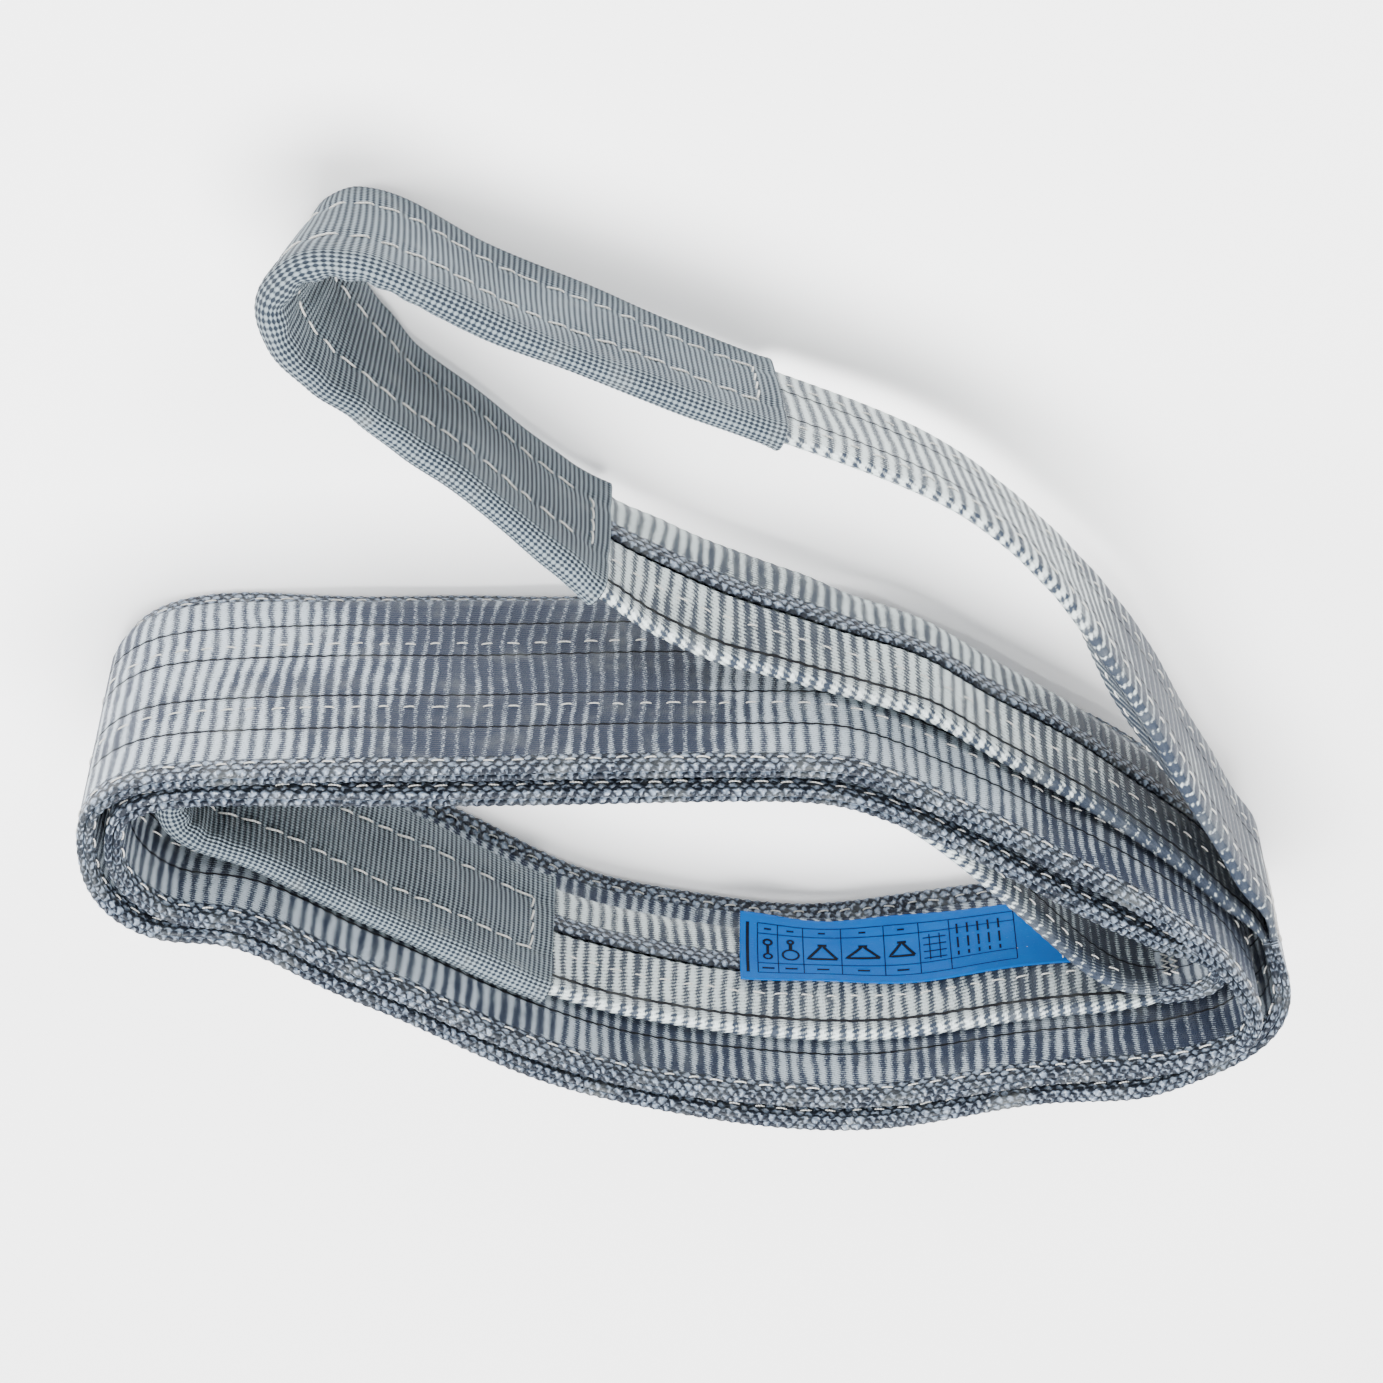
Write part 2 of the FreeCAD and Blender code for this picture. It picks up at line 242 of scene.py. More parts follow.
def body_ply(name, outward, shift):
    """One ply of the body, with its detailed face outward (1) or inward (-1)."""
    across, side = cloth_section(face_stations(), HIDDEN_STATIONS)
    runs = np.linspace(0, body.length, round(body.length / STATION) + 1)
    run, cross = np.meshgrid(runs, across, indexing="ij")
    place = weft(run, cross, shift)
    middle = outward * (PLY + PLY_GAP) / 2
    relief = cloth_relief(place, cross) * (side > 0)
    ripple = 0.25 * MM * np.sin(run / (23 * MM) + shift * 900) * (np.abs(cross) / MIDDLE) ** 3
    offset = middle + outward * (side * PLY / 2 + relief * np.abs(side)) + ripple
    bead = np.cos(2 * math.pi * place / PLAIT_PITCH)
    rim = (0.3 * MM * bead * (np.abs(cross) > 58 * MM) - 0.35 * MM) * np.sign(cross)
    squeeze = cross * (1 - 0.004 * (1 + np.sin(run / (61 * MM) + shift * 500)))
    rings = on_body(run, squeeze + rim, offset)
    rings[..., 2] = np.maximum(rings[..., 2], 0)
    return skin(name, rings, np.stack([place, cross], -1))


# Painted light and shade along the body: (distance in mm, paleness). The weave is painted paler
# where highlights fall near the bends, and darker where shade falls on the long front run.
BODY_PAINTED_LIGHT = [
    (0, -0.1), (250, 0.3), (520, 0.6), (640, 1.0), (695, -0.1), (735, -1.1), (815, -1.0),
    (850, 1.2), (925, 1.5), (960, 0.2), (1020, -0.5), (1110, -1.0), (1200, 0.3), (1400, 0.4),
    (1500, 0.7), (1600, 0.4), (2122, 0.4),
]


def painted_light_tone(piece, painted_tones, shift=0.0):
    """Stores painted light and shade on a piece: a slow change of paleness along it."""
    mesh = piece.data
    mesh.attributes.new("painted_light_tone", "FLOAT", "POINT")
    place = np.zeros(2 * len(mesh.loops), np.float32)
    corners = np.zeros(len(mesh.loops), np.int32)
    mesh.uv_layers["cloth"].data.foreach_get("uv", place)
    mesh.loops.foreach_get("vertex_index", corners)
    along = np.zeros(len(mesh.vertices))
    along[corners] = place[::2]
    marks, values = np.array(painted_tones, float).T
    share = np.interp((along - shift) / MM, marks, values)
    mesh.attributes["painted_light_tone"].data.foreach_set("value", share.astype(np.float32))


outer_ply = body_ply("webbing_outer", 1, 0.0)
inner_ply = body_ply("webbing_inner", -1, 0.0017)
for ply in (outer_ply, inner_ply):
    painted_light_tone(ply, BODY_PAINTED_LIGHT)


class Wire:
    """A value in a shader tree. Sums and products of wires make the nodes that work them out."""

    def __init__(self, tree, socket):
        self.tree, self.socket = tree, socket

    def math(self, operation, *others):
        node = self.tree.nodes.new("ShaderNodeMath")
        node.operation = operation
        for socket, value in zip(node.inputs, (self, *others)):
            feed(socket, value)
        return Wire(self.tree, node.outputs[0])

    def __add__(self, other):
        return self.math("ADD", other)

    def __sub__(self, other):
        return self.math("SUBTRACT", other)

    def __rsub__(self, other):
        return self * -1 + other

    def __mul__(self, other):
        return self.math("MULTIPLY", other)

    def __truediv__(self, other):
        return self.math("DIVIDE", other)

    def clip(self, low, high):
        return self.math("MAXIMUM", low).math("MINIMUM", high)

    def wave(self):
        """-1 to 1, once up and down for each whole turn."""
        return (self * (2 * math.pi)).math("COSINE")

    def band(self, low, high):
        """0 below low, 1 above high and eased between them."""
        node = self.tree.nodes.new("ShaderNodeMapRange")
        node.interpolation_type = "SMOOTHSTEP"
        feed(node.inputs["Value"], self)
        node.inputs["From Min"].default_value = low
        node.inputs["From Max"].default_value = high
        return Wire(self.tree, node.outputs["Result"])


def feed(socket, value):
    """Sets a shader socket from a wire, a number or a colour."""
    if isinstance(value, Wire):
        value.tree.links.new(value.socket, socket)
    else:
        socket.default_value = (*value, 1) if isinstance(value, tuple) else value


def tint(share, low, high, blend="MIX"):
    """A colour between two, by a share; any of the three can be a plain value."""
    tree = next(value.tree for value in (share, low, high) if isinstance(value, Wire))
    node = tree.nodes.new("ShaderNodeMix")
    node.data_type = "RGBA"
    node.blend_type = blend
    for number, value in ((0, share), (6, low), (7, high)):
        feed(node.inputs[number], value)
    return Wire(tree, node.outputs[2])


def patches(along, across, scale, detail=2.0, rough=0.5):
    """Soft noise from 0 to 1 over the cloth; either way can be stretched."""
    tree = along.tree
    place = tree.nodes.new("ShaderNodeCombineXYZ")
    feed(place.inputs[0], along)
    feed(place.inputs[1], across)
    node = tree.nodes.new("ShaderNodeTexNoise")
    tree.links.new(place.outputs[0], node.inputs["Vector"])
    node.inputs["Scale"].default_value = scale
    node.inputs["Detail"].default_value = detail
    node.inputs["Roughness"].default_value = rough
    return Wire(tree, node.outputs["Fac"])


class Look:
    """A shader group: from a place in the cloth and two colours to colour, gloss and relief."""

    def __init__(self, name, *more):
        self.tree = bpy.data.node_groups.new(name, "ShaderNodeTree")
        sides = (
            ("INPUT", (("Place", "Vector"), ("Dark", "Color"), ("Light", "Color"), *more)),
            ("OUTPUT", (("Colour", "Color"), ("Roughness", "Float"), ("Height", "Float"))),
        )
        for side, sockets in sides:
            for label, kind in sockets:
                self.tree.interface.new_socket(
                    label, in_out=side, socket_type=f"NodeSocket{kind}",
                )
        entry = self.tree.nodes.new("NodeGroupInput")
        self.given = {socket.name: Wire(self.tree, socket) for socket in entry.outputs}
        self.dark, self.light = self.given["Dark"], self.given["Light"]
        split = self.tree.nodes.new("ShaderNodeSeparateXYZ")
        feed(split.inputs[0], self.given["Place"])
        self.along = Wire(self.tree, split.outputs[0]) * 1000      # millimetres
        self.across = Wire(self.tree, split.outputs[1]) * 1000

    def done(self, colour, rough, height):
        leave = self.tree.nodes.new("NodeGroupOutput")
        for label, value in (("Colour", colour), ("Roughness", rough), ("Height", height)):
            feed(leave.inputs[label], value)
        return self.tree


TEETH_PITCH = 1.25                   # of the fine warp ends that cross the ribs, in mm
STRAND_PITCH = 0.6                   # of the filaments along the cloth, in mm
INDEX_LINES = (13, 33)               # mm from the webbing's middle, on both sides


def ribbed_weave():
    """Ribs, plaited selvedges, index lines and wear of the grey webbing."""
    look = Look("ribbed_weave", ("Painted_Paleness", "Float"))
    along, across = look.along, look.across
    reach = across.math("ABSOLUTE")
    # Thick weft floats, light where they lie over the warp and dark between, with a toothed rim
    # where each fine warp end passes over the rib.
    wriggle = patches(along, across * 0.6, 0.11, 3, 0.6)
    turns = along / (RIB_PITCH / MM) + wriggle * 0.55
    crest = turns.wave()
    teeth = (across / TEETH_PITCH + turns).wave()
    frizz = patches(along * 1.5, across, 1.0, 3, 0.7)
    lively = crest + teeth * 0.5 + frizz * 4.2 - 2.1
    # Wear in slow patches and in streaks over the width of the cloth, plus the painted light and
    # shade stored along each piece.
    slow = patches(along, across * 1.6, 0.016, 3, 0.55)
    streak = patches(along, across * 0.22, 0.19, 2, 0.6)
    share = (slow - 0.5) * 4.6 + (streak - 0.5) * 2.2 + look.given["Painted_Paleness"]
    light = (lively + share.clip(-0.95, 0.8)).band(-0.3, 1.55)
    ribs = tint(light, look.dark, look.light)
    # Painted highlights: small pale glints painted on the rib crests.
    painted_glint = patches(along, across, 0.62, 3, 0.7).band(0.57, 0.70) * crest.band(0.1, 0.9)
    ribs = tint(painted_glint * 0.8, ribs, (0.72, 0.78, 0.84))
    # Plaited edge: rows of small pale beads, set half a step apart, with dark gaps between them.
    waver = patches(along, across, 0.35, 3) * 5 - 2.5
    rows = (reach - SELVEDGE / MM) / (PLAIT_ROW / MM) + waver * 0.25
    middle = rows.math("FRACT") - 0.5
    turns = (along + waver) / (PLAIT_PITCH / MM) + rows.math("FLOOR") * 0.5
    chain = (turns + middle * 0.2).wave() * 0.6 + middle.wave() * 0.45
    bead = chain.band(-0.35, 1.05)
    fleck = patches(along, across, 0.9, 2, 0.6).band(0.50, 0.68) * bead
    plait = tint(bead, (0.007, 0.010, 0.017), (0.22, 0.28, 0.37))
    plait = tint(fleck * patches(along, across, 0.07, 3), plait, (0.85, 0.88, 0.90))
    edge = reach.band(50.2, 51.4)
    cloth = tint(edge, ribs, plait)
    # Black index lines, four to the width, each a single warp end that wanders a little.
    wander = patches(along, across, 0.25) * 0.9 - 0.45
    inner, outer = ((reach - place + wander).math("ABSOLUTE") for place in INDEX_LINES)
    line = inner.math("MINIMUM", outer)
    ink = 1 - line.band(0.38, 0.7)
    # Each line lies in a shallow groove, and the cloth beside it is painted darker as shade in it.
    groove_and_painted_shade = 1 - line.band(0.4, 2.6)
    cloth = tint(groove_and_painted_shade * 0.3, cloth, (0.05, 0.06, 0.08))
    cloth = tint(ink, cloth, (0.006, 0.006, 0.008))
    # Handling leaves a faint dusty bloom.
    bloom = patches(along, across, 0.055, 5, 0.62).band(0.45, 0.8)
    cloth = tint(bloom * 0.13, cloth, (0.50, 0.53, 0.50))
    strands = (across / STRAND_PITCH).wave() * 0.06 + 0.97
    cloth = tint(1.0, cloth, strands, "MULTIPLY")
    rough = (light * -0.12 + edge * 0.08 + ink * 0.5 + 0.44).clip(0, 1)
    height = (lively * 0.5 + strands * 0.6) * (1 - edge) + chain * edge * 0.8
    return look.done(cloth, rough, height + fleck * 0.25 - groove_and_painted_shade * 0.9)


def cloth_material(name, group, colours, depth, sheen, gloss=0.2):
    """A material whose colour, gloss and relief come from a group placed on the cloth."""
    material = bpy.data.materials.new(name)
    material.use_nodes = True
    tree = material.node_tree
    shader = tree.nodes["Principled BSDF"]
    place = tree.nodes.new("ShaderNodeUVMap")
    place.uv_map = "cloth"
    weave = tree.nodes.new("ShaderNodeGroup")
    weave.node_tree = group
    tree.links.new(place.outputs[0], weave.inputs["Place"])
    for label, colour in colours.items():
        weave.inputs[label].default_value = (*colour, 1)
    if "Painted_Paleness" in weave.inputs:
        # Painted light and shade stored on the piece sets how pale the weave is painted.
        painted_light_input = tree.nodes.new("ShaderNodeAttribute")
        painted_light_input.attribute_name = "painted_light_tone"
        tree.links.new(painted_light_input.outputs["Fac"], weave.inputs["Painted_Paleness"])
    bump = tree.nodes.new("ShaderNodeBump")
    bump.inputs["Strength"].default_value = 0.9
    bump.inputs["Distance"].default_value = depth
    tree.links.new(weave.outputs["Height"], bump.inputs["Height"])
    tree.links.new(bump.outputs[0], shader.inputs["Normal"])
    tree.links.new(weave.outputs["Colour"], shader.inputs["Base Color"])
    tree.links.new(weave.outputs["Roughness"], shader.inputs["Roughness"])
    shader.inputs["Specular IOR Level"].default_value = gloss
    shader.inputs["Sheen Weight"].default_value = sheen
    shader.inputs["Sheen Roughness"].default_value = 0.4
    shader.inputs["Sheen Tint"].default_value = (0.85, 0.9, 1, 1)
    return material


webbing_weave = ribbed_weave()
webbing_grey = cloth_material(
    "webbing_grey", webbing_weave,
    {"Dark": (0.022, 0.031, 0.058), "Light": (0.52, 0.60, 0.67)}, 0.45 * MM, 0.03,
)
for ply, node in ((outer_ply, "webbing_outer_ply"), (inner_ply, "webbing_inner_ply")):
    ply.data.materials.append(webbing_grey)
    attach(ply, "coil")
    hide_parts(node)

# ================================================================ lengthwise sewing
# Four rows of off-white polyester thread hold the plies together. Each stitch lies on the face
# for about 5 mm and dives back into the cloth, and it shows on both faces of the body.
STITCH_PITCH = 10.1 * MM
STITCH_LENGTH = 4.9 * MM
THREAD = 0.33 * MM                   # radius of the sewing thread
THREAD_SIDES = 6
STITCH_SHAPE = np.array([0, 0.12, 0.35, 0.65, 0.88, 1])    # shares of a stitch's length


def thread_mesh(name, paths, radius=THREAD):
    """Threads along lists of points, as one mesh with its place along the thread."""
    rings, weave = [], []
    faces = []
    total = 0
    for path in paths:
        path = np.asarray(path, float)
        ahead = np.gradient(path, axis=0)
        ahead /= np.linalg.norm(ahead, axis=1)[:, None] + 1e-12
        helper = np.array([0, 0, 1.0]) if abs(ahead[:, 2]).mean() < 0.7 else np.array([1.0, 0, 0])
        side = np.cross(ahead, helper)
        side /= np.linalg.norm(side, axis=1)[:, None] + 1e-12
        lift = np.cross(side, ahead)
        run = np.concatenate([[0], np.cumsum(np.linalg.norm(np.diff(path, axis=0), axis=1))])
        turn = np.arange(THREAD_SIDES) * 2 * math.pi / THREAD_SIDES
        ring = path[:, None] + radius * (
            np.cos(turn)[None, :, None] * side[:, None]
            + np.sin(turn)[None, :, None] * lift[:, None]
        )
        rings.append(ring.reshape(-1, 3))
        place = np.stack(np.meshgrid(run, turn * radius, indexing="ij"), -1)
        weave.append(place.reshape(-1, 2))
        size = THREAD_SIDES
        for step in range(len(path) - 1):
            for spot in range(size):
                near = total + step * size
                after = (spot + 1) % size
                faces.append((near + spot, near + after, near + size + after, near + size + spot))
        faces.append(tuple(total + spot for spot in range(size))[::-1])
        faces.append(tuple(total + (len(path) - 1) * size + spot for spot in range(size)))
        total += len(path) * size
    return piece_of(name, np.concatenate(rings), faces, np.concatenate(weave))


def running_stitches(surface, across, begin, end, seed, pitch=STITCH_PITCH, length=STITCH_LENGTH):
    """Paths of one row's stitches on one face; surface gives points at (run, across, lift)."""
    draw = np.random.default_rng(seed)
    lift = np.array([-0.5, 0.15, 0.35, 0.35, 0.15, -0.5]) * MM
    paths = []
    for start in np.arange(begin, end - length, pitch):
        long = length * draw.uniform(0.78, 1.15)
        run = start + draw.uniform(-0.5, 0.5) * MM + STITCH_SHAPE * long
        row = across + draw.uniform(-0.35, 0.35) * MM
        row = row + (STITCH_SHAPE - 0.5) * draw.uniform(-0.9, 0.9) * MM
        paths.append(surface(run, row, lift))
    return paths


def twisted_thread():
    """Twist and slight soiling of sewing thread."""
    look = Look("twisted_thread")
    twist = (look.along * 0.9 + look.across * 0.75).wave()
    soil = patches(look.along, look.across, 0.35, 3)
    colour = tint((twist * 0.2 + soil).clip(0, 1), look.dark, look.light)
    return look.done(colour, soil * 0.2 + 0.4, twist)


thread_cream = cloth_material(
    "thread_cream", twisted_thread(),
    {"Dark": (0.42, 0.42, 0.40), "Light": (0.86, 0.85, 0.80)}, 0.12 * MM, 0.2,
)


def outer_face(run, across, lift):
    return on_body(run, across, STRAP + lift)


def inner_face(run, across, lift):
    return on_body(run, across, -STRAP - lift)


BODY_ROWS = {
    "body_stitch_row_1": -53 * MM, "body_stitch_row_2": -20 * MM,
    "body_stitch_row_3": 20 * MM, "body_stitch_row_4": 53 * MM,
}
THREAD_END = 10 * MM
for number, (node, across) in enumerate(BODY_ROWS.items()):
    paths = []
    for face_number, surface in enumerate((outer_face, inner_face)):
        first = THREAD_END + 5 * MM * face_number + 2 * MM * number
        last = body.length - THREAD_END
        paths += running_stitches(surface, across, first, last, 40 + 2 * number + face_number)
    row = thread_mesh(node.replace("_stitch", "_sewing"), paths)
    row.data.materials.append(thread_cream)
    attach(row, "coil")
    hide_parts(node)

# ================================================================ eyes
# Each eye is a single ply, folded in from both edges to half its width, so that the two edges
# meet in the middle of the face that is inside the loop. Both ends run into the body between its
# plies. The free eye leans outward and sinks a little towards its far end.
FOLD_HALF = 30 * MM
LAYER = 2.85 * MM
LAYER_GAP = 0.2 * MM
FOLD_RADIUS = (LAYER + LAYER_GAP) / 2
FOLD_SHIFT = 2.5 * MM                # the upper flap is the wider one and goes under the lower one
LIP = 0.9 * MM                       # how far the lower flap's edge stands off the upper flap
UPPER_SELVEDGE = 0.66                # the upper flap's own selvedge is out of sight
THROAT = np.array([-225.5, 109]) * MM
EYE_REACH = 460 * MM
EYE_DROOP = 23.5 * MM
INNER_EYE_ROUTE = [
    (-203, 141.8), (-191, 146.4), (-180.5, 149.5), (-150.5, 153.5), (-114.5, 160), (-84.5, 166),
    (-54.5, 167.5), (-20.5, 164.5), (15.5, 157.5), (49.5, 147), (79.5, 131.5), (107.5, 114),
    (135.5, 96.5), (159.5, 80.5), (181.5, 67), (196.5, 60), (205.5, 50), (204.5, 38),
    (194.5, 32), (174.5, 29.5), (144.5, 29), (104.5, 29.5), (64.5, 28.5), (24.5, 28),
    (-15.5, 29), (-48.5, 36.5), (-80.5, 53), (-106.5, 76), (-128.5, 99), (-146.5, 119),
    (-161.5, 134), (-177.5, 142.5), (-189, 143.2), (-202, 139.4),
]
FREE_EYE_ROUTE = [
    (-235, 128.5, 0), (-231.3, 116, 0), (-227.5, 102, 0), (-219.5, 91, 0), (-207.5, 70, 0),
    (-194.5, 48, 0), (-182.5, 25, 0), (-170.5, 4, 1), (-158.5, -14, 3), (-144.5, -33, 6),
    (-129.5, -51, 9), (-112.5, -68, 11), (-91.5, -84, 12), (-68.5, -96, 12), (-44.5, -106, 12),
    (-16.5, -117, 12), (13.5, -130, 11), (45.5, -144, 10), (79.5, -160, 9), (105.5, -175, 8),
    (125.5, -182, 9), (139.5, -179, 12), (146.5, -169, 14), (145.5, -156, 12), (136.5, -141, 7),
    (123.5, -127, 1), (109.5, -112, -3), (92.5, -98, -4), (73.5, -80, -4), (53.5, -62, -2),
    (35.5, -47, 2), (15.5, -34, 7), (-8.5, -22, 8), (-35, -13, 5), (-63, -2.5, 1),
    (-87, 6, 0), (-107.5, 19, 0), (-131.5, 34.5, 0), (-156.5, 51, 0), (-179.5, 68.5, 0),
    (-198, 84.5, 0), (-210.5, 97, 0), (-220.5, 106, 0), (-227.6, 116.6, 0), (-231.6, 127.5, 0),
]


class Strap:
    """A folded strap on a route, with an outward lean at each of its points."""

    def __init__(self, points, inside, droop, puffs):
        self.route = Route(points)
        self.leans = [math.radians(point[2]) if len(point) > 2 else 0.0 for point in points]
        self.inside = inside         # 1 where the flaps are left of the route, -1 right of it
        self.droop = droop
        self.puffs = puffs           # (distance, spread, slope) of places where the fold opens
        self.length = self.route.length

    def lean(self, run):
        marks = self.route.marks
        low = np.clip(np.searchsorted(marks, run, side="right") - 1, 0, len(marks) - 2)
        share = eased((run - marks[low]) / (marks[low + 1] - marks[low]))
        leans = np.array(self.leans)
        return leans[low] * (1 - share) + leans[low + 1] * share

    def at(self, run, aside, rise):
        """Point at an offset to the left and a rise from the middle of the leaning strap."""
        run, aside, rise = np.broadcast_arrays(run, aside, rise)
        spots, left = self.route.at(run)
        tilt = self.lean(run)
        reach = np.hypot(spots[..., 0] - THROAT[0], spots[..., 1] - THROAT[1])
        middle = MIDDLE - self.droop * np.clip(reach / EYE_REACH, 0, 1)
        plan = spots + left * (aside * np.cos(tilt) - rise * np.sin(tilt))[..., None]
        up = middle + aside * np.sin(tilt) + rise * np.cos(tilt)
        return np.concatenate([plan, up[..., None]], -1)

    def puff(self, run):
        """How far the upper flap opens away like a tent: sideways for each unit down."""
        return sum(size * np.exp(-(((run - spot) / wide) ** 2)) for spot, wide, size in self.puffs)

    def fold(self, run, across, lift):
        """Point of the folded cloth: across runs over both flaps, lift is off its outer face."""
        tuck = 0.3 + 0.7 * eased(np.minimum(run, self.length - run) / (48 * MM))
        place = np.where(across > 0, across * 1.05, across) + FOLD_SHIFT
        lift = lift + LIP * eased((-across - 50 * MM) / (8 * MM))
        reach = np.abs(place)
        flat = FOLD_HALF - FOLD_RADIUS
        arc = math.pi * FOLD_RADIUS
        turn = np.clip((reach - flat) / FOLD_RADIUS, 0, math.pi)
        past = np.maximum(reach - flat - arc, 0)
        aside = -FOLD_RADIUS * np.cos(turn)
        rise = np.minimum(reach, flat) + FOLD_RADIUS * np.sin(turn) - past
        aside = aside + self.puff(run) * np.where(place > 0, past, 0)
        out_aside, out_rise = -np.cos(turn), np.sin(turn)
        side = np.sign(place) + (place == 0)
        thick = tuck * (aside + out_aside * lift)
        return self.at(run, self.inside * thick, side * (rise + out_rise * lift * tuck))


def folded_strap(name, strap, shift):
    runs = np.linspace(0, strap.length, round(strap.length / STATION) + 1)
    at_folds = np.array([27.5, 28.5, 29.5, 30.5, 31.5]) * MM
    front = np.unique(np.concatenate([face_stations(), at_folds, -at_folds]))
    across, side = cloth_section(front, front[::-1])
    run, cross = np.meshgrid(runs, across, indexing="ij")
    tucked = 32 * MM
    seen = np.where(cross > tucked, tucked + (cross - tucked) * UPPER_SELVEDGE, cross)
    place = weft(run, seen, shift)
    at_fold = np.exp(-(((np.abs(cross) - FOLD_HALF) / (4 * MM)) ** 2))
    relief = np.where(side > 0, cloth_relief(place, seen) * side, 0) * (1 - 0.7 * at_fold)
    buckle = 0.5 * MM * np.sin(run / (13 * MM) + 2) * eased((np.abs(cross) - 44 * MM) / (16 * MM))
    lift = side * LAYER / 2 + relief + buckle
    rings = strap.fold(run, cross, lift)
    return skin(name, rings, np.stack([place, seen], -1))


webbing_grey_eye = cloth_material(
    "webbing_grey_eye", webbing_weave,
    {"Dark": (0.026, 0.036, 0.056), "Light": (0.64, 0.72, 0.72)}, 0.45 * MM, 0.03,
)
inner_eye = Strap(INNER_EYE_ROUTE, -1, 0.0, [(150 * MM, 30 * MM, 0.03)])
free_eye = Strap(
    FREE_EYE_ROUTE, 1, EYE_DROOP, [(125 * MM, 48 * MM, 0.42), (215 * MM, 40 * MM, 0.12)],
)
inner_eye_cloth = folded_strap("inner_eye_cloth", inner_eye, 0.9013)
free_eye_cloth = folded_strap("free_eye_cloth", free_eye, 1.7031)
CLOSING_SEAM = 47 * MM               # across the cloth, on the upper flap
STRAP_ROW_START = 28 * MM            # from either end of the strap
# Painted light and shade along each eye: (distance in mm, paleness), paler where highlights fall
# and darker where shade falls near the throats.
INNER_EYE_PAINTED_LIGHT = [(0, 0.0), (120, 0.4), (250, 0.8), (650, 0.4), (800, -0.3), (900, -0.8)]
FREE_EYE_PAINTED_LIGHT = [(0, -0.9), (100, -0.7), (170, 0.1), (230, 0.9), (330, 1.2), (660, 0.9), (760, 0.4),
              (860, 0.6), (920, -0.7), (1000, -1.2)]
for cloth, node, sewing, strap, seed, painted_tones, shift in (
    (inner_eye_cloth, "inner_eye_webbing", "inner_eye_sewing", inner_eye, 70, INNER_EYE_PAINTED_LIGHT, 0.9013),
    (free_eye_cloth, "free_eye_webbing", "free_eye_sewing", free_eye, 80, FREE_EYE_PAINTED_LIGHT, 1.7031),
):
    cloth.data.materials.append(webbing_grey_eye)
    painted_light_tone(cloth, painted_tones, shift)
    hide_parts(node)
    paths = []
    for number, across in enumerate((-20 * MM, 20 * MM, CLOSING_SEAM)):
        def strap_face(run, row, lift, strap=strap):
            return strap.fold(run, row, LAYER / 2 + lift)
        last = strap.length - STRAP_ROW_START
        paths += running_stitches(strap_face, across, STRAP_ROW_START, last, seed + number)
    rows = thread_mesh(sewing, paths)
    rows.data.materials.append(thread_cream)
    for piece in (cloth, rows):
        if strap is free_eye:
            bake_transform(piece)
        else:
            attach(piece, "coil")

# ================================================================ sleeves
# A flat woven tube of finer polyester covers the bearing part of each eye. Two rows of long
# stitches run the length of it and pull it down on the strap, and its cut ends are turned in.
SLEEVE_HALF = 36 * MM
SLEEVE_THICK = 5.6 * MM
SLEEVE_REACH = 180 * MM
SLEEVE_ROW = 16 * MM
SLEEVE_STATION = 2.2 / 3 * MM
SLEEVE_ROUND = 5.2 * MM


def sleeve_section():
    """Closed outline of the sleeve: offset, rise, place around it and outward direction."""
    flat = SLEEVE_HALF - SLEEVE_ROUND
    rises = np.linspace(-flat, flat, 23)
    turns = np.linspace(0, math.pi, 11)[1:-1]
    quarter = math.pi * SLEEVE_ROUND / 2
    front = [(1.0, rise, rise, 1.0, 0.0) for rise in rises]
    top = []
    for turn in turns:
        out, up = math.cos(turn), math.sin(turn)
        place = flat + quarter - abs(quarter - turn * SLEEVE_ROUND)
        top.append((out, flat + SLEEVE_ROUND * up, place, out, up))
    back = [(-aside, rise, place, -out, up) for aside, rise, place, out, up in front[::-1]]
    bottom = [(-aside, -rise, -place, -out, -up) for aside, rise, place, out, up in top]
    return np.array(front + top + back + bottom).T


def sleeve_swell(run, rise, face, middle, strap):
    """How the sleeve's face stands off: three soft channels, with creases inside the bend."""
    row = np.exp(-(((np.abs(rise) - SLEEVE_ROW) / (3.2 * MM)) ** 2))
    pull = -0.75 * MM * row * (1 + 0.35 * np.cos(2 * math.pi * run / (9.6 * MM)))
    near = np.exp(-(((run - middle) / (30 * MM)) ** 2))
    crease = np.sin(2 * math.pi * run / (11 * MM) + 1.1 * np.sin(rise / (9 * MM)))
    inside = face * strap.inside > 0.2
    pinch = np.where(inside, 0.9 * MM * near * crease, 0)
    slow = np.sin(run / (17 * MM) + rise / (21 * MM) + 1.3) * np.sin(run / (41 * MM) + 0.4)
    return pull + pinch + 0.8 * MM * slow


